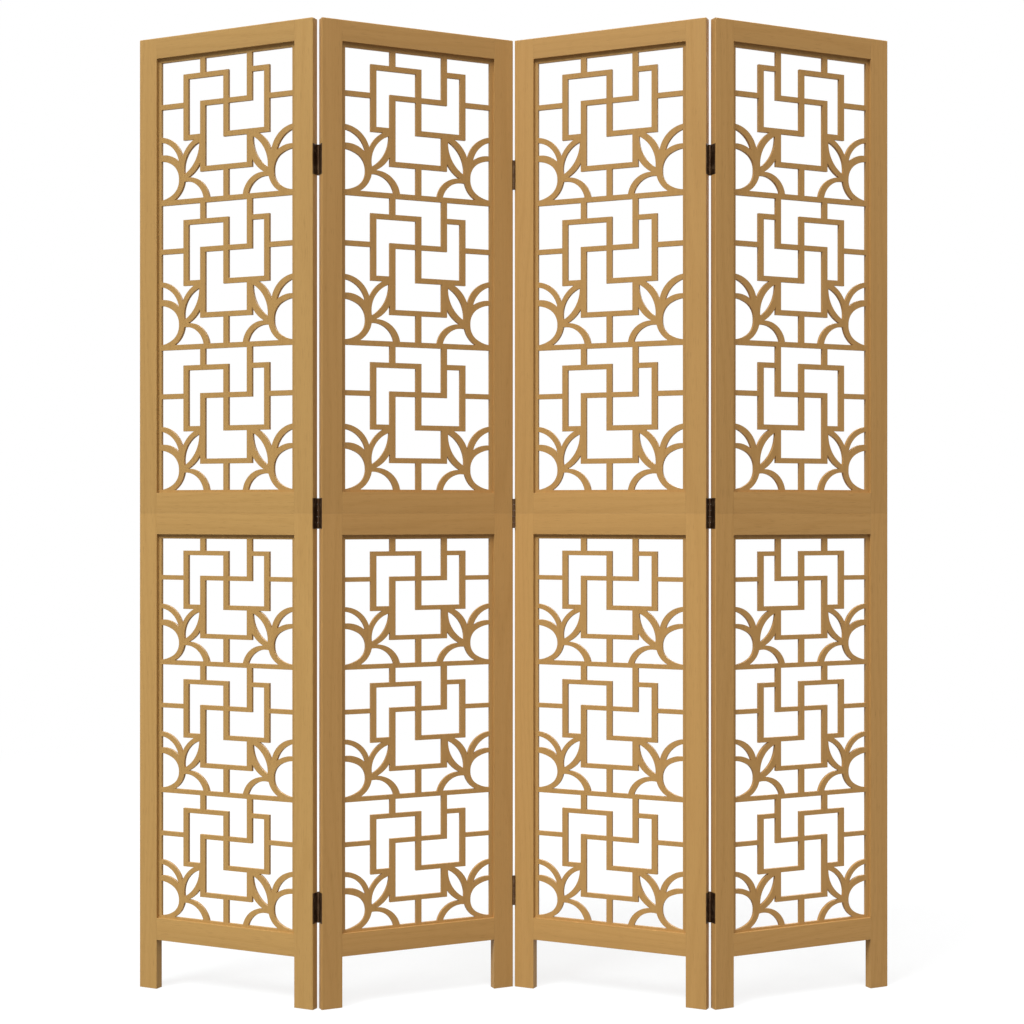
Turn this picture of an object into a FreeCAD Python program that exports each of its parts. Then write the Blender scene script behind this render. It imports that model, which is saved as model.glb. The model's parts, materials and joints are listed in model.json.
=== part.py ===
import FreeCAD, Part
import math
import os
import re

# Folding room divider: four pierced wooden panels in a zigzag, joined by nine butt hinges.
# Each panel is two frames, one standing on the other and held to it by dowels. A frame is two
# stiles and two rails with a fretwork sheet let into grooves around its opening, and the lower
# frame's stiles run on down as the legs. The frame of the whole is X right, Y away from the
# viewer and Z up, with the origin on the floor in the middle of the screen.

SIZES = {
    # panel frame
    "panel_width": 350,
    "frame_thick": 15,
    "stile_width": 36,
    "top_rail_height": 36,
    "mid_rail_height": 36,
    "bottom_rail_height": 38,
    "upper_opening_height": 753,
    "lower_opening_height": 666,
    "leg_height": 85,
    "edge_round": 1.5,
    # rail tenons and the play of everything that is let in
    "tenon_thick": 5,
    "tenon_length": 20,
    "tenon_shoulder": 8,
    "fit_play": 0.1,
    "end_play": 1,
    # dowels between a panel's two frames, in from the ends of the rails
    "dowel_radius": 3,
    "dowel_length": 30,
    "dowel_inset": 40,
    # fretwork sheets
    "lattice_thick": 5,
    "lattice_tongue": 5,
    "border_side": 6.8,
    "border_top": 7.6,
    "bar_width": 10.4,
    # butt hinges, let into the panel edges with the barrel proud of one face
    "hinge_height": 51,
    "top_hinge_drop": 235,
    "bottom_hinge_rise": 168,
    "leaf_thick": 1,
    "axis_gap": 0.75,
    "axis_proud": 1.25,
    "barrel_radius": 2.35,
    "barrel_play": 0.3,
    "knuckle_gap": 0.3,
    "pin_radius": 1.25,
    "pin_play": 0.05,
    # countersunk screws through the hinge leaves
    "screw_head_radius": 2.3,
    "screw_radius": 1.2,
    "screw_length": 12,
    "screw_spacing": 28,
    # angle of each panel to the line of the screen, in degrees
    "panel_angle": 24.6,
}

KNUCKLES = 5
PANELS = (1, 2, 3, 4)
# fold name, left panel, right panel, panel with the outer knuckles, face with the barrel
FOLDS = (
    ("12", 1, 2, 2, "rear"),
    ("23", 2, 3, 2, "front"),
    ("34", 3, 4, 3, "rear"),
)
LEVELS = ("top", "mid", "bottom")

# Fretwork pattern of one cell, three of which fill an opening. Columns are shares of the
# opening's width from its left side, rows are shares of the cell's height from its top.
COLUMN_SHARES = {"left": 0, "a": 0.206, "b": 0.330, "c": 0.5, "d": 0.670, "e": 0.794, "right": 1}
ROW_SHARES = {"top": 0, "a": 0.144, "b": 0.337, "c": 0.562, "d": 0.786, "foot": 1}
BAR_HEIGHT_SHARE = 0.0355
CELLS = 3
UPRIGHTS = (
    ("b", "top", "a"),
    ("d", "top", "b"),
    ("a", "a", "c"),
    ("c", "a", "c"),
    ("e", "a", "c"),
    ("b", "b", "d"),
    ("d", "c", "d"),
    ("c", "d", "foot"),
)
CROSSBARS = (
    ("a", "a", "c"),
    ("a", "d", "e"),
    ("b", "left", "a"),
    ("b", "b", "d"),
    ("b", "e", "right"),
    ("c", "a", "b"),
    ("c", "c", "e"),
    ("d", "b", "d"),
    ("foot", "left", "right"),
)
# Flowers in the lower left and lower right corners of a cell, the right one mirrored: the two differ
# a little. Each stroke is a closed outline: its first point, then for each side a through point
# (None for a straight side) and an end point, all as shares across the opening and down the cell.
LEFT_FLOWER_SHARES = {
    "ring": (
        (0.014, 0.670),
        ((0.1205, 0.693), (0.196, 0.817)),
        ((0.182, 0.908), (0.116, 0.986)),
        (None, (0.014, 0.986)),
        (None, (0.014, 0.981)),
        ((0.064, 0.970), (0.108, 0.946)),
        ((0.1425, 0.904), (0.1545, 0.845)),
        ((0.143, 0.787), (0.109, 0.743)),
        ((0.064, 0.719), (0.014, 0.709)),
    ),
    "petal": (
        (0.014, 0.544),
        ((0.125, 0.592), (0.184, 0.757)),
        (None, (0.156, 0.757)),
        ((0.107, 0.625), (0.014, 0.579)),
    ),
    "leaf": (
        (0.317, 0.556),
        ((0.212, 0.630), (0.165, 0.757)),
        (None, (0.194, 0.865)),
        (None, (0.212, 0.842)),
        ((0.2755, 0.795), (0.317, 0.730)),
    ),
    "quarter": (
        (0.190, 0.840),
        ((0.325, 0.8765), (0.3785, 0.988)),
        (None, (0.337, 0.988)),
        ((0.290, 0.896), (0.190, 0.864)),
    ),
}
LEFT_LEAF_HOLE_SHARES = (
    (0.305, 0.601),
    ((0.2205, 0.6755), (0.196, 0.813)),
    ((0.271, 0.733), (0.305, 0.601)),
)
RIGHT_FLOWER_SHARES = {
    "ring": (
        (0.014, 0.674),
        ((0.1195, 0.698), (0.196, 0.817)),
        ((0.182, 0.908), (0.116, 0.986)),
        (None, (0.014, 0.986)),
        (None, (0.014, 0.980)),
        ((0.064, 0.970), (0.1085, 0.946)),
        ((0.143, 0.904), (0.1545, 0.845)),
        ((0.145, 0.786), (0.1115, 0.740)),
        ((0.065, 0.715), (0.014, 0.705)),
    ),
    "petal": (
        (0.014, 0.5415),
        ((0.122, 0.5955), (0.1745, 0.757)),
        (None, (0.1405, 0.757)),
        ((0.099, 0.632), (0.014, 0.576)),
    ),
    "leaf": (
        (0.317, 0.556),
        ((0.211, 0.629), (0.166, 0.757)),
        (None, (0.190, 0.865)),
        (None, (0.213, 0.854)),
        ((0.2795, 0.800), (0.317, 0.738)),
    ),
    "quarter": (
        (0.188, 0.8525),
        ((0.323, 0.879), (0.378, 0.988)),
        (None, (0.340, 0.988)),
        ((0.288, 0.900), (0.188, 0.877)),
    ),
}
RIGHT_LEAF_HOLE_SHARES = (
    (0.305, 0.600),
    ((0.228, 0.680), (0.199, 0.817)),
    ((0.273, 0.735), (0.305, 0.600)),
)
FLOWER_SHARES = (
    (False, LEFT_FLOWER_SHARES, LEFT_LEAF_HOLE_SHARES),
    (True, RIGHT_FLOWER_SHARES, RIGHT_LEAF_HOLE_SHARES),
)

# Heights of a panel, from the floor up. Its two frames meet at the seam.
BOTTOM_RAIL_Z = "leg_height"
LOWER_OPENING_Z = f"({BOTTOM_RAIL_Z} + bottom_rail_height)"
LOWER_MID_RAIL_Z = f"({LOWER_OPENING_Z} + lower_opening_height)"
SEAM_Z = f"({LOWER_MID_RAIL_Z} + mid_rail_height)"
UPPER_OPENING_Z = f"({SEAM_Z} + mid_rail_height)"
TOP_RAIL_Z = f"({UPPER_OPENING_Z} + upper_opening_height)"
PANEL_HEIGHT = f"({TOP_RAIL_Z} + top_rail_height)"
# bottom and height of each frame's stiles, and of its opening
STILES = {"upper": (SEAM_Z, f"({PANEL_HEIGHT} - {SEAM_Z})"), "lower": ("0", SEAM_Z)}
OPENINGS = {
    "upper": (UPPER_OPENING_Z, "upper_opening_height"),
    "lower": (LOWER_OPENING_Z, "lower_opening_height"),
}
# frame, bottom and height of each rail, and its side with the groove
RAILS = {
    "top_rail": ("upper", TOP_RAIL_Z, "top_rail_height", "under"),
    "upper_mid_rail": ("upper", SEAM_Z, "mid_rail_height", "over"),
    "lower_mid_rail": ("lower", LOWER_MID_RAIL_Z, "mid_rail_height", "under"),
    "bottom_rail": ("lower", BOTTOM_RAIL_Z, "bottom_rail_height", "over"),
}
GROOVE_DEPTH = "(lattice_tongue + end_play)"
HINGE_Z = {
    "top": f"({PANEL_HEIGHT} - top_hinge_drop - hinge_height / 2)",
    "mid": f"({SEAM_Z} - hinge_height / 2)",
    "bottom": "(bottom_hinge_rise - hinge_height / 2)",
}
# The hinges let into each frame's stiles, and which of a hinge's two screws go into them. The
# middle hinge spans the seam, with its lower screw in the lower frame.
HINGE_SCREWS = {"upper": {"top": (1, 2), "mid": (2,)}, "lower": {"mid": (1,), "bottom": (1, 2)}}
# Screws and dowels stand on the middle plane of a panel
MIDDLE_Y = "(frame_thick / 2)"
DOWELS_X = ("(stile_width + dowel_inset)", "(panel_width - stile_width - dowel_inset)")
DOWEL_HOLE_DEPTH = "(dowel_length / 2 + end_play)"
DOWEL_HOLES_Z = {"upper_mid_rail": SEAM_Z, "lower_mid_rail": f"({SEAM_Z} - {DOWEL_HOLE_DEPTH})"}

# two places nearer than this are the same place
SAME_PLACE = 1e-4

UP = FreeCAD.Vector(0, 0, 1)
ACROSS = FreeCAD.Vector(1, 0, 0)
AWAY = FreeCAD.Vector(0, 1, 0)


def make_sheet(doc):
    sheet = doc.addObject("Spreadsheet::Sheet", "sizes")
    for row, (alias, number) in enumerate(SIZES.items(), start=1):
        sheet.set(f"A{row}", alias)
        sheet.set(f"B{row}", str(number))
        sheet.setAlias(f"B{row}", alias)
    doc.recompute()


doc = FreeCAD.newDocument("room_divider")
make_sheet(doc)
ruler = doc.addObject("App::FeaturePython", "ruler")
ruler.addProperty("App::PropertyFloat", "Reading")
nodes = []


def formula(text):
    # size names become references to the sheet's cells
    return re.sub(r"[a-z_]+", lambda word: "sizes." + word.group(), str(text))


def value(text):
    # the same formula, read as a number
    ruler.setExpression("Reading", formula(text))
    ruler.recompute()
    return ruler.Reading


def bind(feature, **formulas):
    for name, text in formulas.items():
        feature.setExpression(name, formula(text))


def put(feature, x="0", y="0", z="0", rotation=None):
    if rotation is not None:
        feature.Placement = FreeCAD.Placement(FreeCAD.Vector(), rotation)
    for axis, text in zip("xyz", (x, y, z)):
        feature.setExpression(f".Placement.Base.{axis}", formula(text))


def keep(feature):
    # a kept feature is one node, under its own name
    feature.Label = feature.Name
    nodes.append(feature)
    return feature


def new_body(name):
    return doc.addObject("PartDesign::Body", name)


def block(body, name, corner, size, cut=False):
    kind = "SubtractiveBox" if cut else "AdditiveBox"
    feature = body.newObject(f"PartDesign::{kind}", f"{body.Name}_{name}")
    bind(feature, Length=size[0], Width=size[1], Height=size[2])
    put(feature, *corner)
    return feature


def rod(body, name, base, radius, length, cut=False, rotation=None):
    kind = "SubtractiveCylinder" if cut else "AdditiveCylinder"
    feature = body.newObject(f"PartDesign::{kind}", f"{body.Name}_{name}")
    bind(feature, Radius=radius, Height=length)
    put(feature, *base, rotation=rotation)
    return feature


def round_edges(body, base, wanted):
    doc.recompute()
    names = [f"Edge{i}" for i, edge in enumerate(base.Shape.Edges, start=1) if wanted(edge.CenterOfMass)]
    rounded = body.newObject("PartDesign::Fillet", f"{body.Name}_round")
    rounded.Base = (base, names)
    bind(rounded, Radius="edge_round")
    return rounded


def near(a, b):
    return math.isclose(a, b, abs_tol=SAME_PLACE)


def from_edge(side, start, length):
    # the lower X of a span that starts at "start" from one of a panel's long edges
    if side == "left":
        return f"({start})"
    return f"(panel_width - ({start}) - ({length}))"


def hinged_sides(panel):
    # the long edges of a panel that carry hinges, with the face that has the barrel
    sides = []
    for fold, left, right, outer_knuckles, face in FOLDS:
        if panel == left:
            sides.append(("right", fold, face, panel == outer_knuckles))
        if panel == right:
            sides.append(("left", fold, face, panel == outer_knuckles))
    return sides


def axis_x(side):
    return "(-axis_gap)" if side == "left" else "(panel_width + axis_gap)"


def axis_y(face):
    return "(-axis_proud)" if face == "front" else "(frame_thick + axis_proud)"


def into_stile(side):
    # turns an axis that points up so that it points from the panel's edge into the wood
    return FreeCAD.Rotation(AWAY, 90 if side == "left" else -90)


def screw_heights(level):
    # by number, from the lower screw up
    middle = f"({HINGE_Z[level]} + hinge_height / 2)"
    return {1: f"({middle} - screw_spacing / 2)", 2: f"({middle} + screw_spacing / 2)"}


def make_stile(panel, frame, side):
    stile = keep(new_body(f"p{panel}_{frame}_stile_{side}"))
    stile_z, stile_height = STILES[frame]
    post = block(
        stile,
        "post",
        (from_edge(side, "0", "stile_width"), "0", stile_z),
        ("stile_width", "frame_thick", stile_height),
    )
    outer_x = 0 if side == "left" else value("panel_width")
    inner_x = value(from_edge(side, "stile_width", "0"))
    middle_z = value(f"{stile_z} + {stile_height} / 2")
    top_z = value(PANEL_HEIGHT)

    def is_outer_or_top(middle):
        on_top = near(middle.z, top_z) and not near(middle.x, inner_x)
        return on_top or (near(middle.x, outer_x) and near(middle.z, middle_z))

    round_edges(stile, post, is_outer_or_top)
    opening_z, opening_height = OPENINGS[frame]
    block(
        stile,
        "groove",
        (
            from_edge(side, f"stile_width - {GROOVE_DEPTH}", GROOVE_DEPTH),
            "(frame_thick - lattice_thick) / 2 - fit_play",
            f"{opening_z} - {GROOVE_DEPTH}",
        ),
        (GROOVE_DEPTH, "lattice_thick + 2 * fit_play", f"{opening_height} + 2 * {GROOVE_DEPTH}"),
        cut=True,
    )
    depth = "(tenon_length + end_play)"
    for name, (rail_frame, bottom, height, _) in RAILS.items():
        if rail_frame != frame:
            continue
        block(
            stile,
            f"{name}_mortise",
            (
                from_edge(side, f"stile_width - {depth}", depth),
                "(frame_thick - tenon_thick) / 2 - fit_play",
                f"{bottom} + tenon_shoulder - fit_play",
            ),
            (depth, "tenon_thick + 2 * fit_play", f"{height} - 2 * tenon_shoulder + 2 * fit_play"),
            cut=True,
        )
    for hinged_side, _, face, _ in hinged_sides(panel):
        if hinged_side == side:
            cut_hinge_seats(stile, frame, side, face)


def cut_hinge_seats(stile, frame, side, face):
    for level, numbers in HINGE_SCREWS[frame].items():
        block(
            stile,
            f"{level}_recess",
            (from_edge(side, "0", "leaf_thick"), "0", f"{HINGE_Z[level]} - fit_play"),
            ("leaf_thick", "frame_thick", "hinge_height + 2 * fit_play"),
            cut=True,
        )
        rod(
            stile,
            f"{level}_barrel_notch",
            (axis_x(side), axis_y(face), f"{HINGE_Z[level]} - barrel_play"),
            "barrel_radius + barrel_play",
            "hinge_height + 2 * barrel_play",
            cut=True,
        )
        for number in numbers:
            rod(
                stile,
                f"{level}_screw_hole_{number}",
                (from_edge(side, "0", "0"), MIDDLE_Y, screw_heights(level)[number]),
                "screw_radius + pin_play",
                "screw_length + end_play",
                cut=True,
                rotation=into_stile(side),
            )


def make_rail(panel, name):
    _, bottom, height, groove_side = RAILS[name]
    rail = keep(new_body(f"p{panel}_{name}"))
    opening_width = "(panel_width - 2 * stile_width)"
    bar = block(rail, "bar", ("stile_width", "0", bottom), (opening_width, "frame_thick", height))
    if name == "top_rail":
        top_z = value(PANEL_HEIGHT)
        middle_x = value("panel_width / 2")
        round_edges(rail, bar, lambda middle: near(middle.z, top_z) and near(middle.x, middle_x))
    block(
        rail,
        "tenons",
        (
            "stile_width - tenon_length",
            "(frame_thick - tenon_thick) / 2",
            f"{bottom} + tenon_shoulder",
        ),
        (f"{opening_width} + 2 * tenon_length", "tenon_thick", f"{height} - 2 * tenon_shoulder"),
    )
    groove_z = bottom if groove_side == "under" else f"{bottom} + {height} - {GROOVE_DEPTH}"
    block(
        rail,
        "groove",
        ("stile_width", "(frame_thick - lattice_thick) / 2 - fit_play", groove_z),
        (opening_width, "lattice_thick + 2 * fit_play", GROOVE_DEPTH),
        cut=True,
    )
    if name in DOWEL_HOLES_Z:
        for number, dowel_x in enumerate(DOWELS_X, start=1):
            rod(
                rail,
                f"dowel_hole_{number}",
                (dowel_x, MIDDLE_Y, DOWEL_HOLES_Z[name]),
                "dowel_radius + fit_play",
                DOWEL_HOLE_DEPTH,
                cut=True,
            )


def make_dowels(panel):
    dowels = []
    for number, dowel_x in enumerate(DOWELS_X, start=1):
        dowel = doc.addObject("Part::Cylinder", f"dowel_p{panel}_{number}")
        bind(dowel, Radius="dowel_radius", Height="dowel_length")
        put(dowel, dowel_x, MIDDLE_Y, f"{SEAM_Z} - dowel_length / 2")
        dowels.append(dowel)
    group(f"p{panel}_dowels", dowels)


def rectangle(x0, x1, z0, z1, y):
    corners = ((x0, z0), (x1, z0), (x1, z1), (x0, z1), (x0, z0))
    return Part.Face(Part.makePolygon([FreeCAD.Vector(x, y, z) for x, z in corners]))


def outline(shares, point):
    # closed face from a stroke's table of shares
    start = point(shares[0])
    edges = []
    for through, end in shares[1:]:
        stop = point(end)
        if through is None:
            edges.append(Part.LineSegment(start, stop).toShape())
        else:
            edges.append(Part.Arc(start, point(through), stop).toShape())
        start = stop
    if end != shares[0]:
        edges.append(Part.LineSegment(start, point(shares[0])).toShape())
    return Part.Face(Part.Wire(edges))


def fretwork_face(opening, flipped):
    bottom_text, height_text = OPENINGS[opening]
    stile = value("stile_width")
    width = value("panel_width") - 2 * stile
    bottom = value(bottom_text)
    height = value(height_text)
    top = bottom + height
    pitch = height / CELLS
    bar_width = value("bar_width")
    bar_height = BAR_HEIGHT_SHARE * pitch
    tongue = value("lattice_tongue")
    depth = value("(frame_thick - lattice_thick) / 2")
    window = rectangle(
        stile + value("border_side"),
        stile + width - value("border_side"),
        bottom + bar_height / 2,
        top - value("border_top"),
        depth,
    )
    strokes = []
    holes = []
    for cell in range(CELLS):
        cell_top = top - cell * pitch

        def at(shares, mirrored=False, cell_top=cell_top):
            across = 1 - shares[0] if mirrored else shares[0]
            return FreeCAD.Vector(stile + across * width, depth, cell_top - shares[1] * pitch)

        for column, upper, lower in UPRIGHTS:
            head = at((COLUMN_SHARES[column], ROW_SHARES[upper]))
            foot = at((COLUMN_SHARES[column], ROW_SHARES[lower]))
            strokes.append(
                rectangle(
                    head.x - bar_width / 2,
                    head.x + bar_width / 2,
                    foot.z - bar_height / 2,
                    head.z + bar_height / 2,
                    depth,
                )
            )
        for row, first, last in CROSSBARS:
            left = at((COLUMN_SHARES[first], ROW_SHARES[row]))
            right = at((COLUMN_SHARES[last], ROW_SHARES[row]))
            strokes.append(
                rectangle(
                    left.x - bar_width / 2,
                    right.x + bar_width / 2,
                    left.z - bar_height / 2,
                    left.z + bar_height / 2,
                    depth,
                )
            )
        for mirrored, flower, leaf_hole in FLOWER_SHARES:
            for stroke in flower.values():
                strokes.append(outline(stroke, lambda shares: at(shares, mirrored)))
            holes.append(outline(leaf_hole, lambda shares: at(shares, mirrored)))
    gaps = window.cut(strokes)
    holes.extend(gaps.removeSplitter().Faces)
    edge = rectangle(stile - tongue, stile + width + tongue, bottom - tongue, top + tongue, depth)
    sheet_face = edge.cut(holes)
    if len(sheet_face.Faces) != 1:
        raise RuntimeError(f"the {opening} fretwork fell into {len(sheet_face.Faces)} pieces")
    face = sheet_face.Faces[0]
    if flipped:
        face = face.mirror(FreeCAD.Vector(value("panel_width / 2"), 0, 0), ACROSS)
    return face


def make_lattice(panel, opening, profile):
    lattice = keep(doc.addObject("Part::Extrusion", f"p{panel}_{opening}_lattice"))
    lattice.Base = profile
    lattice.DirMode = "Custom"
    lattice.Dir = AWAY
    lattice.Solid = True
    bind(lattice, LengthFwd="lattice_thick")


def make_leaf(panel, fold, outer_knuckles, level):
    # built on the hinge's own axis: X into the stile, Y across the panel's edge
    leaf = new_body(f"leaf_{fold}_{level}_p{panel}")
    block(
        leaf,
        "plate",
        ("axis_gap", "0", "0"),
        ("leaf_thick", "axis_proud + frame_thick - edge_round", "hinge_height"),
    )
    knuckle = f"(hinge_height / {KNUCKLES})"
    for number in range(KNUCKLES):
        own = (number % 2 == 0) == outer_knuckles
        below = "0" if number == 0 else "knuckle_gap / 2"
        above = "0" if number == KNUCKLES - 1 else "knuckle_gap / 2"
        if own:
            rod(
                leaf,
                f"knuckle_{number + 1}",
                ("0", "0", f"{number} * {knuckle} + {below}"),
                "barrel_radius",
                f"{knuckle} - {below} - {above}",
            )
        else:
            rod(
                leaf,
                f"clear_{number + 1}",
                ("0", "0", f"{number} * {knuckle} - {below}"),
                "barrel_radius + barrel_play",
                f"{knuckle} + {below} + {above}",
                cut=True,
            )
    rod(leaf, "bore", ("0", "0", "0"), "pin_radius + pin_play", "hinge_height", cut=True)
    for number, sign in enumerate(("-", "+"), start=1):
        sink = leaf.newObject("PartDesign::SubtractiveCone", f"{leaf.Name}_countersink_{number}")
        bind(
            sink,
            Radius1="screw_head_radius + fit_play",
            Radius2="screw_radius + fit_play",
            Height="leaf_thick",
        )
        put(
            sink,
            "axis_gap",
            f"axis_proud + {MIDDLE_Y}",
            f"hinge_height / 2 {sign} screw_spacing / 2",
            rotation=into_stile("left"),
        )
    return leaf


def make_leaves(panel, side, fold, face, outer_knuckles):
    leaves = []
    for level in LEVELS:
        leaf = make_leaf(panel, fold, outer_knuckles, level)
        leaf.Placement = leaf_placement(side, face, level)
        leaves.append(leaf)
    group(f"hinge_{fold}_leaves_p{panel}", leaves)


def leaf_placement(side, face, level):
    x = value(axis_x(side))
    y = value(axis_y(face))
    z = value(HINGE_Z[level])
    height = value("hinge_height")
    turns = {
        ("left", "front"): (z, FreeCAD.Rotation()),
        ("right", "rear"): (z, FreeCAD.Rotation(UP, 180)),
        ("right", "front"): (z + height, FreeCAD.Rotation(AWAY, 180)),
        ("left", "rear"): (z + height, FreeCAD.Rotation(ACROSS, 180)),
    }
    base_z, rotation = turns[(side, face)]
    return FreeCAD.Placement(FreeCAD.Vector(x, y, base_z), rotation)


def group(name, members):
    # like pieces that share a node and stay separate solids
    compound = keep(doc.addObject("Part::Compound", name))
    compound.Links = members


def make_pins(fold, side, face):
    pins = []
    for level in LEVELS:
        pin = doc.addObject("Part::Cylinder", f"pin_{fold}_{level}")
        bind(pin, Radius="pin_radius", Height="hinge_height")
        put(pin, axis_x(side), axis_y(face), HINGE_Z[level])
        pins.append(pin)
    group(f"hinge_{fold}_pins", pins)


def make_screws(panel):
    screws = []
    for side, _, _, _ in hinged_sides(panel):
        for level in LEVELS:
            for number, height in screw_heights(level).items():
                name = f"p{panel}_{side}_{level}_{number}"
                head = doc.addObject("Part::Cone", f"screw_head_{name}")
                bind(head, Radius1="screw_head_radius", Radius2="screw_radius", Height="leaf_thick")
                put(head, from_edge(side, "0", "0"), MIDDLE_Y, height, rotation=into_stile(side))
                shank = doc.addObject("Part::Cylinder", f"screw_shank_{name}")
                bind(shank, Radius="screw_radius", Height="screw_length - leaf_thick")
                shank_start = "leaf_thick" if side == "left" else "panel_width - leaf_thick"
                put(shank, shank_start, MIDDLE_Y, height, rotation=into_stile(side))
                screw = doc.addObject("Part::Fuse", f"screw_{name}")
                screw.Base = head
                screw.Tool = shank
                screws.append(screw)
    group(f"p{panel}_screws", screws)


def panel_placements():
    # The corner of each panel that is left, front and on the floor. The axis of the middle fold
    # stands at x = 0, and the zigzag is centred on y = 0.
    angle = value("panel_angle")
    turn = {panel: FreeCAD.Rotation(UP, -angle if panel % 2 else angle) for panel in PANELS}
    along = {panel: turn[panel].multVec(ACROSS) for panel in PANELS}
    back = {panel: turn[panel].multVec(AWAY) for panel in PANELS}
    width = value("panel_width")
    thick = value("frame_thick")
    gap = value("axis_gap")
    proud = value("axis_proud")
    sine = math.sin(math.radians(angle))
    cosine = math.cos(math.radians(angle))
    axis_away = gap * sine - proud * cosine + (width * sine - thick * cosine) / 2
    middle_axis = FreeCAD.Vector(0, axis_away, 0)
    corner = {}
    corner[2] = middle_axis - along[2] * (gap + width) + back[2] * proud
    corner[3] = middle_axis + along[3] * gap + back[3] * proud
    left_axis = corner[2] + back[2] * (thick + proud) - along[2] * gap
    right_axis = corner[3] + back[3] * (thick + proud) + along[3] * (width + gap)
    corner[1] = left_axis - along[1] * (width + gap) - back[1] * (thick + proud)
    corner[4] = right_axis + along[4] * gap - back[4] * (thick + proud)
    return {panel: FreeCAD.Placement(corner[panel], turn[panel]) for panel in PANELS}


def check(feature):
    if "Invalid" in feature.State or "Error" in feature.State:
        raise RuntimeError(f"{feature.Label} failed")


def check_body(body):
    # every cut takes wood or metal away, and every added block or rod adds some
    volume = 0
    for feature in body.Group:
        if not feature.isDerivedFrom("PartDesign::Feature"):
            continue
        changed = feature.Shape.Volume - volume
        kind = feature.TypeId
        if "Subtractive" in kind and changed >= 0:
            raise RuntimeError(f"{feature.Label} cuts nothing")
        if "Additive" in kind and changed <= 0:
            raise RuntimeError(f"{feature.Label} adds nothing")
        volume = feature.Shape.Volume


profiles = {}
for opening in OPENINGS:
    for flipped in (False, True):
        name = f"{opening}_fretwork_{'flipped' if flipped else 'plain'}"
        profile = doc.addObject("Part::Feature", name)
        profile.Shape = fretwork_face(opening, flipped)
        profiles[(opening, flipped)] = profile

placements = panel_placements()
for panel in PANELS:
    first = len(nodes)
    for frame in STILES:
        for side in ("left", "right"):
            make_stile(panel, frame, side)
        # the last panel shows its sheets from the other side
        make_lattice(panel, frame, profiles[(frame, panel == PANELS[-1])])
    for rail in RAILS:
        make_rail(panel, rail)
    make_dowels(panel)
    for side, fold, face, outer_knuckles in hinged_sides(panel):
        make_leaves(panel, side, fold, face, outer_knuckles)
        if outer_knuckles:
            make_pins(fold, side, face)
    make_screws(panel)
    for node in nodes[first:]:
        node.Placement = placements[panel]

doc.recompute()
for feature in doc.Objects:
    check(feature)
    if feature.isDerivedFrom("PartDesign::Body"):
        check_body(feature)
for node in nodes:
    if node.Shape.isNull() or not node.Shape.isValid():
        raise RuntimeError(f"{node.Label} has no valid shape")

os.makedirs("parts", exist_ok=True)
for node in nodes:
    node.Shape.exportStep(os.path.join("parts", f"{node.Label}.step"))
print(f"{len(nodes)} nodes written")
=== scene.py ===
import json
import math

import bmesh
import bpy
import numpy as np
from bpy.props import FloatProperty, FloatVectorProperty, PointerProperty
from mathutils import Matrix, Vector


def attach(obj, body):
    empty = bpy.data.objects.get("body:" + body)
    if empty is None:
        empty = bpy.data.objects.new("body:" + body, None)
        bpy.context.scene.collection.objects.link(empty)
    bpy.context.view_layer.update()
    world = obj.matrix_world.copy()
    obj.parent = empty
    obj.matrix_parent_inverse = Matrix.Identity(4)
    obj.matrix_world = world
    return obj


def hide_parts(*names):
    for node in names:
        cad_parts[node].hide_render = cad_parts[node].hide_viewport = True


bl_info = {
    "name": "Folding Room Divider",
    "version": (1, 0, 0),
    "blender": (4, 5, 0),
    "location": "View3D > Sidebar > Room Divider",
    "description": "Wood, bronze, screws and studio for a folding fretwork screen",
    "category": "Object",
}

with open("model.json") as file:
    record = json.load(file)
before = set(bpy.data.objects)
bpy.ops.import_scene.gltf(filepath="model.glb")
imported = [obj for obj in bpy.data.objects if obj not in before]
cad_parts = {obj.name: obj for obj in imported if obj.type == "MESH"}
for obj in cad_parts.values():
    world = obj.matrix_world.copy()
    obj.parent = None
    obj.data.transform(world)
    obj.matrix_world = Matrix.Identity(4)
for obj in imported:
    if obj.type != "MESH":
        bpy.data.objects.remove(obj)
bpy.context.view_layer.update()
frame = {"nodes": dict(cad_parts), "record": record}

PANELS = (1, 2, 3, 4)
# share of the wood's variation by which each panel's colour leans to the greyer tone: partly each
# panel's own tone, partly painted light, greyer on the lit first panel and browner on the shaded
# second and fourth panels
PANEL_GREY_SHARES = {1: 0.5, 2: -0.5, 3: -0.2, 4: -0.5}
# body that carries each fold's hinge pins
FOLD_BODIES = {"12": "panel_2", "23": "panel_2", "34": "panel_3"}

# Wood: repeats per metre across, across and along the grain
RING_DRIFT = (9.0, 9.0, 0.9)
STREAKS = (420.0, 420.0, 5.0)
SLOW_TONE = (16.0, 16.0, 0.8)
PORES = (1500.0, 1500.0, 42.0)
RINGS_PER_METRE = 55.0
RING_BEND = 11.0
# what rings, streaks and slow tone add to the figure
RING_SHARE, STREAK_SHARE, TONE_SHARE = 0.42, 0.33, 0.25
# how far one board's pattern is moved from the next one's
SEED_STEP = (0.37, 0.21, 1.3)
RUBBED_WOOD_SHARE = 0.35
RAIL_SEED, SHEET_SEED = 5, 11

# Turned metal: sides of each ring, and a screw's shape in shares of its head's radius or its reach
ROUND_SIDES = 32
HEAD_EDGE_SHARES = (0.97, 0.06)
SHANK_SHARE = 0.52
HEAD_DEPTH_SHARE = 0.44
THREAD_SHARE = 0.80
TIP_SHARE = 0.1
RECESS_TAPER_SHARE = 0.55
PIN_DOME_STEPS = 6
PIN_FLAT_STEP = 0.35

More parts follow.
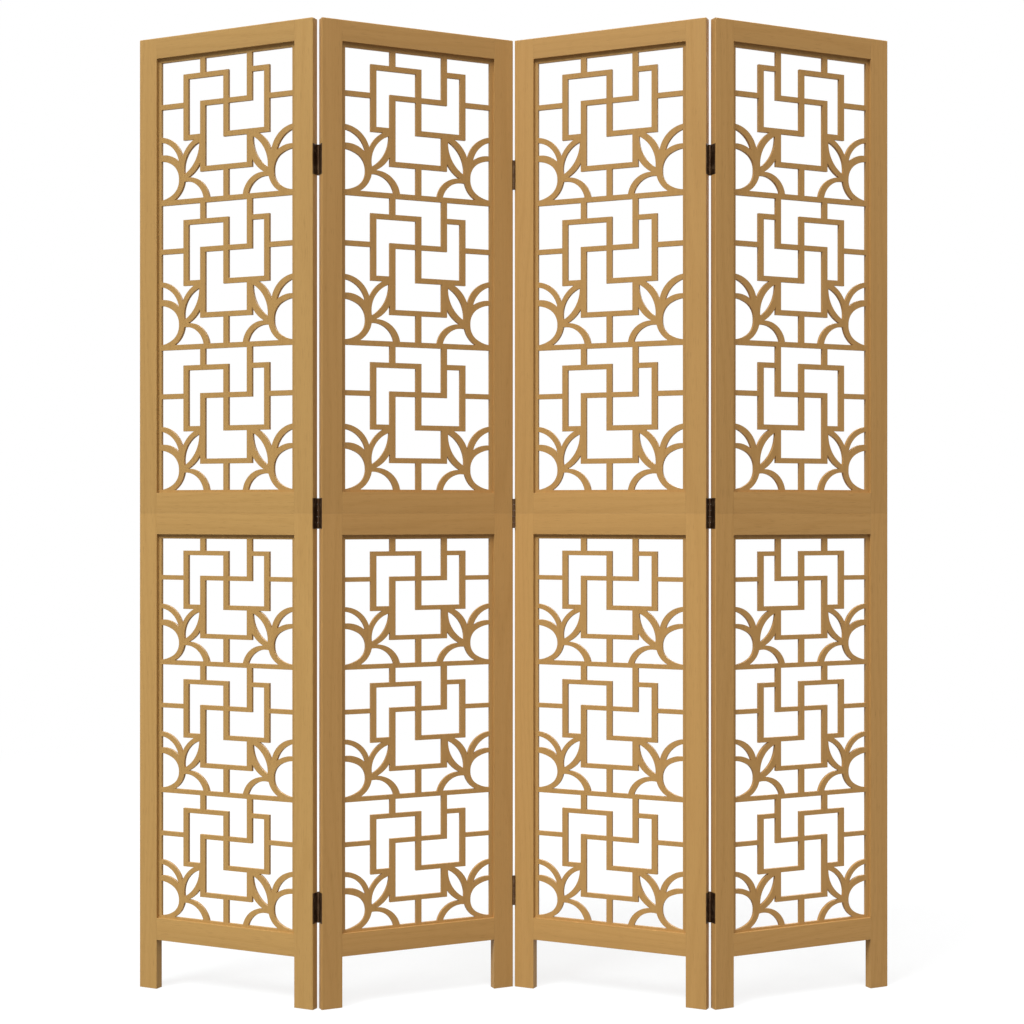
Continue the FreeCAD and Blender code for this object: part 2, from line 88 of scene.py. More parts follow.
# Studio, in metres and radians
CAMERA_PLACE = (-0.00962, -2.99047, 0.8275)
CAMERA_TURN = (math.pi / 2, 0.0, -0.0021)
CAMERA_REACH = 60.0
FLOOR_RADIUS = 14.0
FLOOR_SIDES = 96
FLOOR_FADE = (1.2, 3.5)
FLOOR_CLEAR_SHARES = (0.75, 1.0)
LIT_POINT = (0.0, 0.0, 0.8)
KEY_PLACE = (-4.0, -4.0, 7.5)
FILL_PLACE = (0.0, -5.0, 7.7)
BACK_PLACE = (2.0, 4.5, 3.7)
WHITE = (1.0, 1.0, 1.0)


# Sizes and colours that a user would change


def colour(name, description, default):
    return FloatVectorProperty(
        name=name,
        description=description,
        subtype="COLOR",
        size=3,
        min=0.0,
        max=1.0,
        default=default,
    )


def share(name, description, default, top=1.0):
    return FloatProperty(
        name=name, description=description, subtype="FACTOR", min=0.0, max=top, default=default
    )


def length(name, description, default):
    return FloatProperty(
        name=name, description=description, unit="LENGTH", min=0.0, precision=5, default=default
    )


class DividerWood(bpy.types.PropertyGroup):
    light: colour("Light grain", "Early wood between the grain lines", (0.500, 0.2815, 0.0930))
    dark: colour("Dark grain", "Late wood in the grain lines", (0.4015, 0.2118, 0.0625))
    pore: colour("Pores", "Fine open pores along the grain", (0.150, 0.066, 0.018))
    figure: share("Figure", "How strongly the grain lines show", 0.22)
    pores: share("Pore depth", "How strongly the pores show", 0.30)
    roughness: share("Lacquer roughness", "Roughness of the satin lacquer", 0.55)
    coat: share("Lacquer", "Weight of the clear lacquer", 0.04)
    fade: share("Fade", "How much darker each board grows towards its lower end", 0.09)
    variation: share("Variation", "How far the first panel is greyer than the second", 0.05)
    edge: length("Softened edge", "Radius of the sanded edges", 0.0007)


class DividerFretwork(bpy.types.PropertyGroup):
    tone: share("Tone", "How light the sheets are beside the boards", 0.95)
    fade: share("Fade", "How much darker each sheet grows towards its lower end", 0.0)
    figure: share("Figure", "How strongly the grain shows on the sheets", 0.20)
    pores: share("Pore depth", "How strongly the pores show on the sheets", 0.20)
    edge: length("Softened edge", "Radius of the sanded edges of the cut pattern", 0.0005)


class DividerBronze(bpy.types.PropertyGroup):
    dark: colour("Patina", "Dark oxidised bronze", (0.090, 0.048, 0.024))
    warm: colour("Warm patina", "Warmer patches of the patina", (0.150, 0.092, 0.050))
    worn: colour("Worn bronze", "Bare bronze where hands rub the edges", (0.400, 0.235, 0.110))
    roughness: share("Roughness", "Roughness of the patina", 0.36)
    edge: length("Softened edge", "Radius of the worn metal edges", 0.0003)


class DividerScrews(bpy.types.PropertyGroup):
    recess: length("Cross recess", "Half the length of the driver recess's arms", 0.0013)
    arm: length("Recess arm", "Half the width of the driver recess's arms", 0.00030)
    depth: length("Recess depth", "Depth of the driver recess", 0.0006)
    dome: length("Pin dome", "Height of the hinge pins' rounded ends", 0.0006)


class DividerStage(bpy.types.PropertyGroup):
    floor: colour("Floor", "Pale studio floor", (0.80, 0.80, 0.80))
    bounce: colour("Floor bounce", "Colour of the light that the floor returns", (0.20, 0.20, 0.20))
    sky_low: share("Low surround", "Strength of the studio's surround at eye level", 0.20, top=5.0)
    sky_high: share("Ceiling", "Strength of the studio's surround overhead", 0.50, top=5.0)
    key: share("Key light", "Strength of the soft light from the upper left", 2.53, top=10.0)
    key_colour: colour("Key colour", "Colour of the light from the upper left", (0.90, 0.98, 1.0))
    key_softness: FloatProperty(
        name="Key softness",
        description="Width of the soft key light",
        unit="ROTATION",
        default=0.37,
    )
    fill: share("Fill light", "Strength of the softer light above the camera", 1.73, top=10.0)
    back: share("Back light", "Strength of the light on the rear of the screen", 1.5, top=10.0)
    lens: FloatProperty(
        name="Lens", description="Focal length", subtype="DISTANCE_CAMERA", default=61.595
    )


# Shader groups: grain, edge wear and patina


class Nodes:
    """Short calls for building a node tree."""

    def __init__(self, tree):
        self.tree = tree

    def add(self, kind, settings=None, **inputs):
        node = self.tree.nodes.new(kind)
        for name, value in (settings or {}).items():
            setattr(node, name, value)
        for name, value in inputs.items():
            self.set(node, name.replace("_", " "), value)
        return node

    def set(self, node, name, value):
        socket = node.inputs[name]
        if isinstance(value, bpy.types.NodeSocket):
            self.tree.links.new(value, socket)
        else:
            socket.default_value = value

    def math(self, operation, first, second=0.0, clamp=False):
        node = self.add("ShaderNodeMath", {"operation": operation, "use_clamp": clamp})
        self.set(node, 0, first)
        if len(node.inputs) > 1:
            self.set(node, 1, second)
        return node.outputs[0]

    def plus(self, first, second, clamp=False):
        return self.math("ADD", first, second, clamp)

    def times(self, first, second):
        return self.math("MULTIPLY", first, second)

    def mix(self, factor, first, second, blend="MIX"):
        node = self.add("ShaderNodeMix", {"data_type": "RGBA", "blend_type": blend})
        self.set(node, 0, factor)
        self.set(node, 6, first)
        self.set(node, 7, second)
        return node.outputs[2]

    def band(self, value, low, high, start=0.0, end=1.0, blend="SMOOTHSTEP"):
        node = self.add(
            "ShaderNodeMapRange",
            {"interpolation_type": blend},
            Value=value,
            From_Min=low,
            From_Max=high,
            To_Min=start,
            To_Max=end,
        )
        return node.outputs[0]

    def stretch(self, vector, scale, offset=(0.0, 0.0, 0.0)):
        return self.add("ShaderNodeMapping", Vector=vector, Scale=scale, Location=offset).outputs[0]

    def turned(self, vector, rotation):
        return self.add("ShaderNodeMapping", Vector=vector, Rotation=rotation).outputs[0]

    def axis(self, vector, which):
        """One part of a vector: 0 for X, 1 for Y, 2 for Z."""
        return self.add("ShaderNodeSeparateXYZ", Vector=vector).outputs[which]

    def noise(self, vector, scale=1.0, detail=2.0, roughness=0.5, distortion=0.0):
        node = self.add(
            "ShaderNodeTexNoise",
            Vector=vector,
            Scale=scale,
            Detail=detail,
            Roughness=roughness,
            Distortion=distortion,
        )
        return node.outputs[0]


def new_group(name, inputs, outputs):
    group = bpy.data.node_groups.new(name, "ShaderNodeTree")
    for label, kind in inputs:
        group.interface.new_socket(name=label, in_out="INPUT", socket_type=f"NodeSocket{kind}")
    for label, kind in outputs:
        group.interface.new_socket(name=label, in_out="OUTPUT", socket_type=f"NodeSocket{kind}")
    nodes = Nodes(group)
    return group, nodes, nodes.add("NodeGroupInput").outputs, nodes.add("NodeGroupOutput")


def group_named(name, build):
    return bpy.data.node_groups.get(name) or build(name)


def build_grain(name):
    # Wood with its grain along Z. The vector is in metres.
    group, nodes, given, out = new_group(
        name,
        (
            ("Vector", "Vector"),
            ("Light", "Color"),
            ("Dark", "Color"),
            ("Pore", "Color"),
            ("Figure", "Float"),
            ("Pores", "Float"),
            ("Shade", "Float"),
            ("Roughness", "Float"),
        ),
        (("Color", "Color"), ("Roughness", "Float"), ("Height", "Float")),
    )
    vector = given["Vector"]
    # growth rings: bands across the board, drawn out along it and bent by a slow drift
    drift = nodes.noise(nodes.stretch(vector, RING_DRIFT), detail=3.0, roughness=0.45)
    ring_place = nodes.plus(
        nodes.times(nodes.axis(vector, 0), RINGS_PER_METRE), nodes.times(drift, RING_BEND)
    )
    rings = nodes.band(nodes.math("PINGPONG", ring_place, 0.5), 0.18, 0.50)
    # fine streaks along the grain
    streaks = nodes.noise(nodes.stretch(vector, STREAKS), detail=4.0, roughness=0.62)
    streaks = nodes.band(streaks, 0.36, 0.68)
    # slow change of tone from board to board and along each board
    tone = nodes.noise(nodes.stretch(vector, SLOW_TONE, (3.1, 1.7, 0.4)), detail=2.0)
    tone = nodes.band(tone, 0.30, 0.70)
    shown = nodes.plus(nodes.times(rings, RING_SHARE), nodes.times(streaks, STREAK_SHARE))
    shown = nodes.plus(shown, nodes.times(tone, TONE_SHARE))
    centred = nodes.math("SUBTRACT", shown, 0.5)
    strength = nodes.times(given["Figure"], 2.0)
    factor = nodes.plus(0.5, nodes.times(centred, strength), clamp=True)
    wood = nodes.mix(factor, given["Light"], given["Dark"])
    pores = nodes.noise(nodes.stretch(vector, PORES, (0.7, 0.2, 5.0)), detail=1.0)
    pores = nodes.times(nodes.band(pores, 0.60, 0.74), given["Pores"])
    stained = nodes.mix(pores, wood, given["Pore"])
    shade = nodes.add(
        "ShaderNodeCombineColor", Red=given["Shade"], Green=given["Shade"], Blue=given["Shade"]
    )
    nodes.set(out, "Color", nodes.mix(1.0, stained, shade.outputs[0], "MULTIPLY"))
    rough = nodes.plus(given["Roughness"], nodes.times(centred, 0.16))
    nodes.set(out, "Roughness", nodes.plus(rough, nodes.times(pores, 0.25), clamp=True))
    nodes.set(out, "Height", nodes.math("SUBTRACT", nodes.times(streaks, 0.35), pores))
    return group


def build_edge(name):
    # A softened edge: its normal, and a mask that is 1 on the edge and broken up by rubbing
    group, nodes, given, out = new_group(
        name,
        (("Vector", "Vector"), ("Radius", "Float"), ("Breakup", "Float")),
        (("Normal", "Vector"), ("Wear", "Float")),
    )
    bevel = nodes.add("ShaderNodeBevel", {"samples": 4}, Radius=given["Radius"]).outputs[0]
    plain = nodes.add("ShaderNodeNewGeometry").outputs["Normal"]
    turned = nodes.add("ShaderNodeVectorMath", {"operation": "DOT_PRODUCT"})
    nodes.set(turned, 0, bevel)
    nodes.set(turned, 1, plain)
    edge = nodes.band(turned.outputs["Value"], 0.995, 0.80)
    rubbed = nodes.noise(vector=given["Vector"], scale=120.0, detail=3.0)
    rubbed = nodes.band(rubbed, 0.38, 0.62)
    kept = nodes.math("SUBTRACT", 1.0, nodes.times(rubbed, given["Breakup"]))
    nodes.set(out, "Normal", bevel)
    nodes.set(out, "Wear", nodes.math("MULTIPLY", edge, kept, clamp=True))
    return group


def build_patina(name):
    # Antique bronze: dark oxide with warmer clouds, bare metal on rubbed edges
    group, nodes, given, out = new_group(
        name,
        (
            ("Vector", "Vector"),
            ("Dark", "Color"),
            ("Warm", "Color"),
            ("Worn", "Color"),
            ("Wear", "Float"),
            ("Roughness", "Float"),
        ),
        (("Color", "Color"), ("Roughness", "Float"), ("Height", "Float")),
    )
    clouds = nodes.noise(given["Vector"], scale=95.0, detail=4.0, roughness=0.6)
    clouds = nodes.band(clouds, 0.40, 0.66)
    specks = nodes.noise(given["Vector"], scale=900.0, detail=2.0)
    specks = nodes.band(specks, 0.45, 0.75)
    metal = nodes.mix(clouds, given["Dark"], given["Warm"])
    nodes.set(out, "Color", nodes.mix(given["Wear"], metal, given["Worn"]))
    rough = nodes.plus(given["Roughness"], nodes.times(clouds, 0.14))
    rough = nodes.math("SUBTRACT", rough, nodes.times(given["Wear"], 0.12))
    nodes.set(out, "Roughness", nodes.plus(rough, nodes.times(specks, 0.06), clamp=True))
    nodes.set(out, "Height", specks)
    return group


def new_material(name):
    material = bpy.data.materials.new(name)
    material.use_nodes = True
    material.node_tree.nodes.clear()
    nodes = Nodes(material.node_tree)
    shader = nodes.add("ShaderNodeBsdfPrincipled")
    output = nodes.add("ShaderNodeOutputMaterial")
    nodes.set(output, "Surface", shader.outputs[0])
    return material, nodes, shader


def place_group(nodes, name, build, values):
    node = nodes.add("ShaderNodeGroup", {"node_tree": group_named(name, build)})
    for label, value in values.items():
        nodes.set(node, label, value)
    return node.outputs


def rgba(value):
    return (*value, 1.0)


def stain_with_panel_light(wood_colour, panel):
    """A wood colour as it comes out on one panel's boards, with painted light: the lit first panel
    is painted greyer and the shaded second and fourth panels browner, beside a small tone of each
    panel.
    """
    wood = bpy.context.scene.divider_wood
    # painted light: the panel's share makes lit panels greyer and shaded panels browner
    greyer = 1.0 + wood.variation * PANEL_GREY_SHARES[panel]
    red, green, blue = wood_colour
    return (red, green * greyer, blue * greyer, 1.0)


def soft_bump(nodes, shader, strength, distance, height, normal):
    bump = nodes.add(
        "ShaderNodeBump", Strength=strength, Distance=distance, Height=height, Normal=normal
    )
    nodes.set(shader, "Normal", bump.outputs[0])


def wood_material(name, panel, lengthwise, seed, figure, pores, edge, fade, tone):
    """Lacquered wood whose grain runs up the panel, or along it where lengthwise is true."""
    wood = bpy.context.scene.divider_wood
    material, nodes, shader = new_material(name)
    places = nodes.add("ShaderNodeTexCoord").outputs
    here = places["Object"]
    # each piece is painted darker from its upper end to its lower end
    height_share = nodes.axis(places["Generated"], 2)
    dark_end, light_end = tone * (1.0 - fade / 2), tone * (1.0 + fade / 2)
    shade = nodes.band(height_share, 0.0, 1.0, dark_end, light_end, "LINEAR")
    board = nodes.turned(here, (0.0, 0.0, -panel_turn(panel)))
    if lengthwise:
        board = nodes.turned(board, (0.0, math.pi / 2, 0.0))
    board = nodes.stretch(board, (1.0, 1.0, 1.0), tuple(seed * step for step in SEED_STEP))
    edges = place_group(
        nodes, "divider_edge", build_edge, {"Vector": here, "Radius": edge, "Breakup": 0.6}
    )
    grain = place_group(
        nodes,
        "divider_grain",
        build_grain,
        {
            "Vector": board,
            "Light": stain_with_panel_light(wood.light, panel),
            "Dark": stain_with_panel_light(wood.dark, panel),
            "Pore": rgba(wood.pore),
            "Figure": figure,
            "Pores": pores,
            "Shade": shade,
            "Roughness": wood.roughness,
        },
    )
    rubbed = nodes.times(edges["Wear"], RUBBED_WOOD_SHARE)
    nodes.set(shader, "Base Color", nodes.mix(rubbed, grain["Color"], stain_with_panel_light(wood.light, panel)))
    nodes.set(shader, "Roughness", grain["Roughness"])
    soft_bump(nodes, shader, 0.25, 0.0002, grain["Height"], edges["Normal"])
    nodes.set(shader, "Coat Weight", wood.coat)
    nodes.set(shader, "Coat Roughness", 0.30)
    nodes.set(shader, "Coat IOR", 1.48)
    nodes.set(shader, "Specular IOR Level", 0.2)
    return material


def bronze_material(name, rubbed):
    """Dark antique bronze. rubbed is how far the edges are worn bare."""
    bronze = bpy.context.scene.divider_bronze
    material, nodes, shader = new_material(name)
    here = nodes.add("ShaderNodeTexCoord").outputs["Object"]
    edges = place_group(
        nodes, "divider_edge", build_edge, {"Vector": here, "Radius": bronze.edge, "Breakup": 0.8}
    )
    patina = place_group(
        nodes,
        "divider_patina",
        build_patina,
        {
            "Vector": here,
            "Dark": rgba(bronze.dark),
            "Warm": rgba(bronze.warm),
            "Worn": rgba(bronze.worn),
            "Wear": nodes.times(edges["Wear"], rubbed),
            "Roughness": bronze.roughness,
        },
    )
    nodes.set(shader, "Base Color", patina["Color"])
    nodes.set(shader, "Roughness", patina["Roughness"])
    nodes.set(shader, "Metallic", 0.9)
    soft_bump(nodes, shader, 0.2, 0.0001, patina["Height"], edges["Normal"])
    return material


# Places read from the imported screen


def panel_turn(panel):
    """Angle of a panel to the line of the screen, from its two feet."""
    feet = {mount["name"]: Vector(mount["pos_m"]) for mount in frame["record"]["mounts"]}
    along = feet[f"foot_p{panel}_right"] - feet[f"foot_p{panel}_left"]
    return math.atan2(along.y, along.x)


def give(node, material):
    slots = frame["nodes"][node].material_slots
    if not slots:
        frame["nodes"][node].data.materials.append(material)
    for slot in slots:
        slot.material = material


def solids_of(node):
    """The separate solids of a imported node, each as an array of its corners."""
    mesh = bmesh.new()
    mesh.from_mesh(frame["nodes"][node].data)
    bmesh.ops.remove_doubles(mesh, verts=mesh.verts, dist=1e-6)
    left = set(mesh.verts)
    solids = []
    while left:
        front = [left.pop()]
        found = []
        while front:
            corner = front.pop()
            found.append(corner.co.copy())
            for edge in corner.link_edges:
                other = edge.other_vert(corner)
                if other in left:
                    left.remove(other)
                    front.append(other)
        solids.append(np.array(found, dtype=float))
    mesh.free()
    return sorted(solids, key=lambda corners: tuple(np.round(corners.mean(axis=0), 4)))


def long_axis(corners):
    """Ends of a slender solid's axis, the thicker end first, and that end's radius."""
    middle = corners.mean(axis=0)
    axis = np.linalg.svd(corners - middle)[2][0]
    along = (corners - middle) @ axis
    apart = np.linalg.norm((corners - middle) - np.outer(along, axis), axis=1)
    low, high = along.min(), along.max()
    low_radius = apart[along < low + (high - low) * 0.02].max()
    high_radius = apart[along > high - (high - low) * 0.02].max()
    ends = (Vector(middle + low * axis), Vector(middle + high * axis))
    if high_radius > low_radius:
        return ends[1], ends[0], high_radius
    return ends[0], ends[1], low_radius


# Turned metal pieces


def ring(mesh, radius, height, count, place):
    corners = []
    for step in range(count):
        angle = math.tau * step / count
        point = Vector((radius * math.cos(angle), radius * math.sin(angle), height))
        corners.append(mesh.verts.new(place @ point))
    return corners


def join_rings(mesh, first, second, sharp=False):
    count = len(first)
    for step in range(count):
        following = (step + 1) % count
        face = mesh.faces.new((first[step], first[following], second[following], second[step]))
        face.smooth = True
    if sharp:
        for step in range(count):
            edge = mesh.edges.get((first[step], first[(step + 1) % count]))
            edge.smooth = False


def upright(start, towards):
    """Places a shape made along +Z so that it stands at start and points away from towards."""
    direction = (start - towards).normalized()
    return Matrix.Translation(start) @ direction.to_track_quat("Z", "Y").to_matrix().to_4x4()


def add_screw(mesh, head, tip, radius, sizes):
    """A countersunk screw with a cross recess, its head flush at the leaf's face."""
    place = upright(head, tip)
    reach = (head - tip).length
    shank = radius * SHANK_SHARE
    edge_width, edge_depth = HEAD_EDGE_SHARES
    profile = (
        (radius, 0.0),
        (radius * edge_width, -radius * edge_depth),
        (shank, -radius * HEAD_DEPTH_SHARE),
        (shank, -reach * THREAD_SHARE),
        (shank * TIP_SHARE, -reach),
    )
    rings = [ring(mesh, out, height, ROUND_SIDES, place) for out, height in profile]
    for first, second in zip(rings, rings[1:]):
        join_rings(mesh, second, first, sharp=first is not rings[3])
    mesh.faces.new(list(reversed(rings[-1])))
    arms = []
    long, wide = sizes.recess, sizes.arm
    outline = (
        (long, -wide), (long, wide), (wide, wide), (wide, long), (-wide, long), (-wide, wide),
        (-long, wide), (-long, -wide), (-wide, -wide), (-wide, -long), (wide, -long), (wide, -wide),
    )
    for taper, depth in ((1.0, 0.0), (RECESS_TAPER_SHARE, -sizes.depth)):
        corners = [Vector((x * taper, y * taper, depth)) for x, y in outline]
        arms.append([mesh.verts.new(place @ corner) for corner in corners])
    count = len(outline)
    loops = []
    for step in range(count):
        following = (step + 1) % count
        mesh.faces.new((arms[0][following], arms[0][step], arms[1][step], arms[1][following]))
        loops.append(mesh.edges.get((arms[0][step], arms[0][following])))
    mesh.faces.new(arms[1])
    for step in range(ROUND_SIDES):
        loops.append(mesh.edges.get((rings[0][step], rings[0][(step + 1) % ROUND_SIDES])))
    facing = (head - tip).normalized()
    flat = bmesh.ops.triangle_fill(mesh, use_beauty=True, edges=loops, normal=facing)
    for face in flat["geom"]:
        if isinstance(face, bmesh.types.BMFace):
            face.smooth = False


def add_pin(mesh, top, bottom, radius, sizes):
    """A hinge pin with softly domed ends."""
    place = upright(top, bottom)
    reach = (top - bottom).length
    profile = []
    for step in range(PIN_DOME_STEPS):
        angle = (step + PIN_FLAT_STEP) / (PIN_DOME_STEPS - 1 + PIN_FLAT_STEP) * math.pi / 2
        profile.append((radius * math.sin(angle), -sizes.dome * (1 - math.cos(angle))))
    mirrored = [(out, -reach - height) for out, height in reversed(profile)]
    rings = [ring(mesh, out, height, ROUND_SIDES, place) for out, height in profile + mirrored]
    for first, second in zip(rings, rings[1:]):
        join_rings(mesh, second, first)
    mesh.faces.new(rings[0]).smooth = True
    mesh.faces.new(list(reversed(rings[-1]))).smooth = True


def finish_piece(name, mesh, material, body, node):
    bmesh.ops.recalc_face_normals(mesh, faces=mesh.faces)
    data = bpy.data.meshes.new(name)
    mesh.to_mesh(data)
    mesh.free()
    data.materials.append(material)
    piece = bpy.data.objects.new(name, data)
    bpy.context.scene.collection.objects.link(piece)
    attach(piece, body)
    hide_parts(node)


# One operator for each group of like pieces


class DIVIDER_OT_frames(bpy.types.Operator):
    """Finish the stiles and rails in lacquered wood, its grain along each board"""

    bl_idname = "divider.frames"
    bl_label = "Stiles and rails"

    def execute(self, context):
        wood = context.scene.divider_wood
        for panel in PANELS:
            finish = (wood.figure, wood.pores, wood.edge, wood.fade, 1.0)
            upright_wood = wood_material(f"stile_wood_{panel}", panel, False, panel, *finish)
            seed = panel + RAIL_SEED
            rail_wood = wood_material(f"rail_wood_{panel}", panel, True, seed, *finish)
            for half in ("upper", "lower"):
                for side in ("left", "right"):
                    give(f"p{panel}_{half}_stile_{side}", upright_wood)
            for rail in ("top", "upper_mid", "lower_mid", "bottom"):
                give(f"p{panel}_{rail}_rail", rail_wood)
            give(f"p{panel}_dowels", upright_wood)
        return {"FINISHED"}


class DIVIDER_OT_fretwork(bpy.types.Operator):
    """Finish the pierced sheets in the same wood, with a quieter grain"""

    bl_idname = "divider.fretwork"
    bl_label = "Fretwork sheets"

    def execute(self, context):
        sheets = context.scene.divider_fretwork
        finish = (sheets.figure, sheets.pores, sheets.edge, sheets.fade, sheets.tone)
        for panel in PANELS:
            seed = panel + SHEET_SEED
            sheet_wood = wood_material(f"fretwork_wood_{panel}", panel, False, seed, *finish)
            for opening in ("upper", "lower"):
                give(f"p{panel}_{opening}_lattice", sheet_wood)
        return {"FINISHED"}


class DIVIDER_OT_hinges(bpy.types.Operator):
    """Finish the hinge leaves in dark antique bronze"""

    bl_idname = "divider.hinges"
    bl_label = "Hinge leaves"

    def execute(self, context):
        leaf_bronze = bronze_material("leaf_bronze", 0.3)
        for node in frame["nodes"]:
            if "_leaves_" in node:
                give(node, leaf_bronze)
        return {"FINISHED"}


class DIVIDER_OT_pins(bpy.types.Operator):
    """Turn the hinge pins, with softly domed ends"""

    bl_idname = "divider.pins"
    bl_label = "Hinge pins"

    def execute(self, context):
        sizes = context.scene.divider_screws
        pin_bronze = bronze_material("pin_bronze", 0.3)
        for fold, body in FOLD_BODIES.items():
            node = f"hinge_{fold}_pins"
            mesh = bmesh.new()
            for corners in solids_of(node):
                middle = (corners.min(axis=0) + corners.max(axis=0)) / 2
                radius = (corners[:, 0].max() - corners[:, 0].min()) / 2
                top = Vector((middle[0], middle[1], corners[:, 2].max()))
                bottom = Vector((middle[0], middle[1], corners[:, 2].min()))
                add_pin(mesh, top, bottom, radius, sizes)
            finish_piece(f"turned_pins_{fold}", mesh, pin_bronze, body, node)
        return {"FINISHED"}


class DIVIDER_OT_screws(bpy.types.Operator):
    """Make the countersunk screws with their cross recesses"""

    bl_idname = "divider.screws"
    bl_label = "Hinge screws"

    def execute(self, context):
        sizes = context.scene.divider_screws
        screw_bronze = bronze_material("screw_bronze", 0.7)
        for panel in PANELS:
            node = f"p{panel}_screws"
            mesh = bmesh.new()
            for corners in solids_of(node):
                head, tip, radius = long_axis(corners)
                add_screw(mesh, head, tip, radius, sizes)
            name, body = f"cross_screws_{panel}", f"panel_{panel}"
            finish_piece(name, mesh, screw_bronze, body, node)
        return {"FINISHED"}


def seen_directly(nodes):
    """1 for rays from the camera, from a reflection or through glass."""
    path = nodes.add("ShaderNodeLightPath").outputs
    seen = nodes.math("MAXIMUM", path["Is Camera Ray"], path["Is Glossy Ray"])
    return nodes.math("MAXIMUM", seen, path["Is Transmission Ray"])


def aim_light(data, place, target):
    light = bpy.data.objects.new(data.name, data)
    light.location = place
    light.rotation_euler = (Vector(target) - Vector(place)).to_track_quat("-Z", "Y").to_euler()
    bpy.context.scene.collection.objects.link(light)


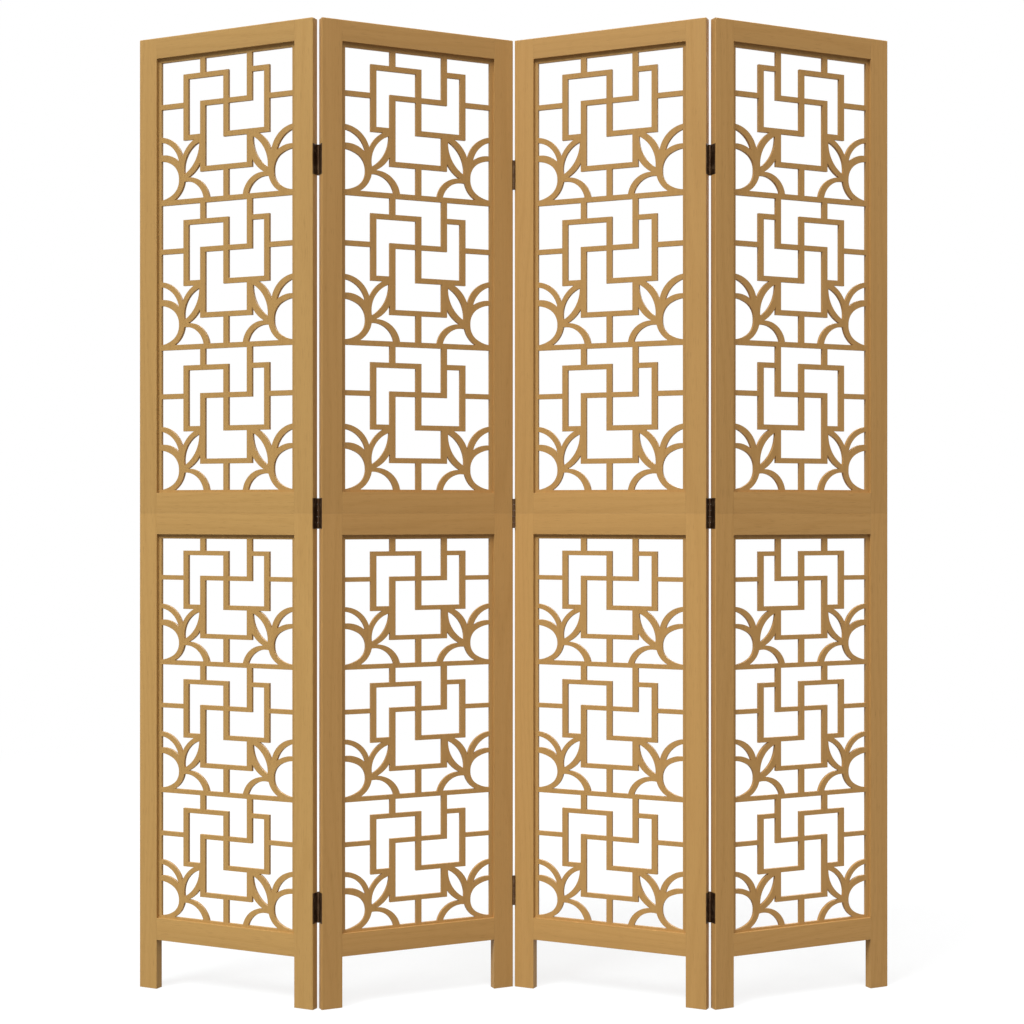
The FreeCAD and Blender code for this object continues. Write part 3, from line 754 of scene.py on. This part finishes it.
class DIVIDER_OT_stage(bpy.types.Operator):
    """Set up the pale floor, the studio lights and the camera"""

    bl_idname = "divider.stage"
    bl_label = "Floor, lights and camera"

    def execute(self, context):
        settings = context.scene.divider_stage
        self.make_floor(settings)
        self.make_world(context.scene, settings)
        self.make_lights(settings)
        data = bpy.data.cameras.new("camera")
        data.sensor_width = 36.0
        data.lens = settings.lens
        data.clip_end = CAMERA_REACH
        camera = bpy.data.objects.new("camera", data)
        camera.location = CAMERA_PLACE
        camera.rotation_euler = CAMERA_TURN
        context.scene.collection.objects.link(camera)
        context.scene.camera = camera
        context.scene.view_settings.view_transform = "Standard"
        return {"FINISHED"}

    def make_lights(self, settings):
        lamps = (
            ("key_light", settings.key, settings.key_colour, 1.0, KEY_PLACE),
            ("fill_light", settings.fill, WHITE, 2.0, FILL_PLACE),
            ("back_light", settings.back, WHITE, 2.0, BACK_PLACE),
        )
        for name, energy, tint, softer, place in lamps:
            lamp = bpy.data.lights.new(name, "SUN")
            lamp.energy = energy
            lamp.color = tint
            lamp.angle = settings.key_softness * softer
            aim_light(lamp, place, LIT_POINT)

    def make_floor(self, settings):
        mesh = bmesh.new()
        centre = mesh.verts.new((0.0, 0.0, 0.0))
        rim = ring(mesh, FLOOR_RADIUS, 0.0, FLOOR_SIDES, Matrix.Identity(4))
        for step in range(len(rim)):
            mesh.faces.new((centre, rim[step], rim[(step + 1) % len(rim)]))
        data = bpy.data.meshes.new("floor")
        mesh.to_mesh(data)
        mesh.free()
        material = bpy.data.materials.new("studio_floor")
        material.use_nodes = True
        material.node_tree.nodes.clear()
        nodes = Nodes(material.node_tree)
        place = nodes.add("ShaderNodeTexCoord").outputs["Object"]
        away = nodes.add("ShaderNodeVectorMath", {"operation": "LENGTH"})
        nodes.set(away, 0, place)
        covered = nodes.band(away.outputs["Value"], *FLOOR_FADE, *FLOOR_CLEAR_SHARES)
        bounced = nodes.add("ShaderNodeLightPath").outputs["Is Diffuse Ray"]
        paint = nodes.mix(bounced, rgba(settings.floor), rgba(settings.bounce))
        painted = nodes.add("ShaderNodeBsdfDiffuse", Color=paint).outputs[0]
        glow = nodes.add("ShaderNodeEmission", Color=rgba(WHITE), Strength=1.0).outputs[0]
        mixed = nodes.add("ShaderNodeMixShader")
        nodes.set(mixed, 0, nodes.times(seen_directly(nodes), covered))
        nodes.set(mixed, 1, painted)
        nodes.set(mixed, 2, glow)
        output = nodes.add("ShaderNodeOutputMaterial")
        nodes.set(output, "Surface", mixed.outputs[0])
        data.materials.append(material)
        floor = bpy.data.objects.new("floor", data)
        bpy.context.scene.collection.objects.link(floor)

    def make_world(self, scene, settings):
        world = bpy.data.worlds.new("studio")
        world.use_nodes = True
        world.node_tree.nodes.clear()
        nodes = Nodes(world.node_tree)
        towards = nodes.add("ShaderNodeTexCoord").outputs["Generated"]
        height = nodes.axis(towards, 2)
        sky = nodes.band(height, 0.0, 1.0, settings.sky_low, settings.sky_high, "LINEAR")
        soft = nodes.add("ShaderNodeBackground", Color=rgba(WHITE), Strength=sky).outputs[0]
        plain = nodes.add("ShaderNodeBackground", Color=rgba(WHITE), Strength=1.0).outputs[0]
        mixed = nodes.add("ShaderNodeMixShader")
        nodes.set(mixed, 0, seen_directly(nodes))
        nodes.set(mixed, 1, soft)
        nodes.set(mixed, 2, plain)
        output = nodes.add("ShaderNodeOutputWorld")
        nodes.set(output, "Surface", mixed.outputs[0])
        scene.world = world


OPERATORS = (
    DIVIDER_OT_frames,
    DIVIDER_OT_fretwork,
    DIVIDER_OT_hinges,
    DIVIDER_OT_pins,
    DIVIDER_OT_screws,
    DIVIDER_OT_stage,
)

SETTINGS = {
    "divider_wood": DividerWood,
    "divider_fretwork": DividerFretwork,
    "divider_bronze": DividerBronze,
    "divider_screws": DividerScrews,
    "divider_stage": DividerStage,
}


class DIVIDER_PT_panel(bpy.types.Panel):
    """Sizes, colours and operators of the room divider"""

    bl_idname = "DIVIDER_PT_panel"
    bl_label = "Room Divider"
    bl_space_type = "VIEW_3D"
    bl_region_type = "UI"
    bl_category = "Room Divider"

    def draw(self, context):
        for attribute in SETTINGS:
            box = self.layout.box()
            settings = getattr(context.scene, attribute)
            for name in settings.bl_rna.properties.keys():
                if name not in ("rna_type", "name"):
                    box.prop(settings, name)
        for operator in OPERATORS:
            self.layout.operator(operator.bl_idname)


def register():
    for attribute, group in SETTINGS.items():
        bpy.utils.register_class(group)
        setattr(bpy.types.Scene, attribute, PointerProperty(type=group))
    for operator in OPERATORS:
        bpy.utils.register_class(operator)
    bpy.utils.register_class(DIVIDER_PT_panel)


def unregister():
    bpy.utils.unregister_class(DIVIDER_PT_panel)
    for operator in reversed(OPERATORS):
        bpy.utils.unregister_class(operator)
    for attribute, group in SETTINGS.items():
        delattr(bpy.types.Scene, attribute)
        bpy.utils.unregister_class(group)


def main():
    register()
    bpy.ops.divider.frames()
    bpy.ops.divider.fretwork()
    bpy.ops.divider.hinges()
    bpy.ops.divider.pins()
    bpy.ops.divider.screws()
    bpy.ops.divider.stage()


if __name__ == "__main__":
    main()
